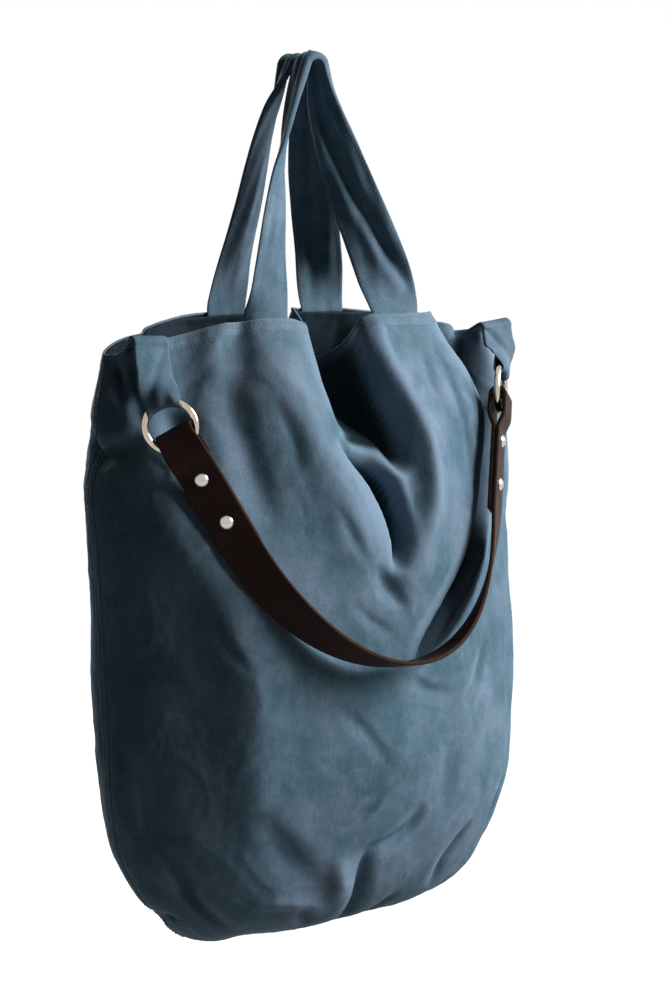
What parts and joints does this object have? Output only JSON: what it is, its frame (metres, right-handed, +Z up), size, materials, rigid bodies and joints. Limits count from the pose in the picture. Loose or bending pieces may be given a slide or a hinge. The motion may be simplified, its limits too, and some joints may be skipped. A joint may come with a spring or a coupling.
{
  "type": "trapeze bag",
  "caption": "Slouchy cloth bag with a soft gathered mouth, cloth handles and a leather shoulder strap hung on round metal rings",
  "frame": {"origin": "the underside of the handles' bend, where a hook carries the bag", "axes": "+Z up, +X to the right side seen from the front, +Y to the back"},
  "size_m": [0.3734, 0.226, 0.674],
  "materials": {
    "cloth": "waxed",
    "lining": "waxed",
    "leather": "satin",
    "nickel": "polished"
  },
  "bodies": {
    "bag": {"front_panel": "cloth", "back_panel": "cloth", "front_facing": "lining", "back_facing": "lining", "left_side_binding": "lining", "right_side_binding": "lining", "bottom_binding": "lining", "left_corner_binding": "lining", "right_corner_binding": "lining", "front_handle_ends": "cloth", "back_handle_ends": "cloth", "left_tab_root": "cloth", "right_tab_root": "cloth"},
    "front_handle": {"front_handle": "cloth"},
    "back_handle": {"back_handle": "cloth"},
    "left_tab": {"left_tab": "cloth"},
    "right_tab": {"right_tab": "cloth"},
    "left_ring": {"left_ring": "nickel"},
    "right_ring": {"right_ring": "nickel"},
    "strap": {"leather_strap": "leather", "left_rivet_caps": "nickel", "left_rivet_posts": "nickel", "right_rivet_caps": "nickel", "right_rivet_posts": "nickel"}
  },
  "joints": [
    {"name": "front_handle_fold", "type": "hinge", "parent": "bag", "child": "front_handle", "pos_m": [0, -0.04405, -0.185], "axis": [1, 0, 0], "range_deg": [0, 110]},
    {"name": "back_handle_fold", "type": "hinge", "parent": "bag", "child": "back_handle", "pos_m": [0, 0.04505, -0.185], "axis": [-1, 0, 0], "range_deg": [0, 110]},
    {"name": "left_tab_fold", "type": "hinge", "parent": "bag", "child": "left_tab", "pos_m": [-0.159, -0.03395, -0.1991], "axis": [-1, 0, 0], "range_deg": [0, 150]},
    {"name": "right_tab_fold", "type": "hinge", "parent": "bag", "child": "right_tab", "pos_m": [0.159, -0.03395, -0.1991], "axis": [-1, 0, 0], "range_deg": [0, 150]},
    {"name": "left_ring_swing", "type": "hinge", "parent": "left_tab", "child": "left_ring", "pos_m": [-0.15515, -0.05164, -0.24499], "axis": [-1, 0, 0], "range_deg": [0, 3.5]},
    {"name": "right_ring_swing", "type": "hinge", "parent": "right_tab", "child": "right_ring", "pos_m": [0.15722, -0.04834, -0.23398], "axis": [-1, 0, 0], "range_deg": [0, 3.5]},
    {"name": "strap_swing", "type": "hinge", "parent": "left_ring", "child": "strap", "pos_m": [-0.14652, -0.05728, -0.26972], "axis": [-1, 0, 0], "range_deg": [0, 1.5]}
  ],
  "couplings": [
    {"joint": "right_tab_fold", "follows": "left_tab_fold", "ratio": 1},
    {"joint": "right_ring_swing", "follows": "left_ring_swing", "ratio": 1}
  ]
}
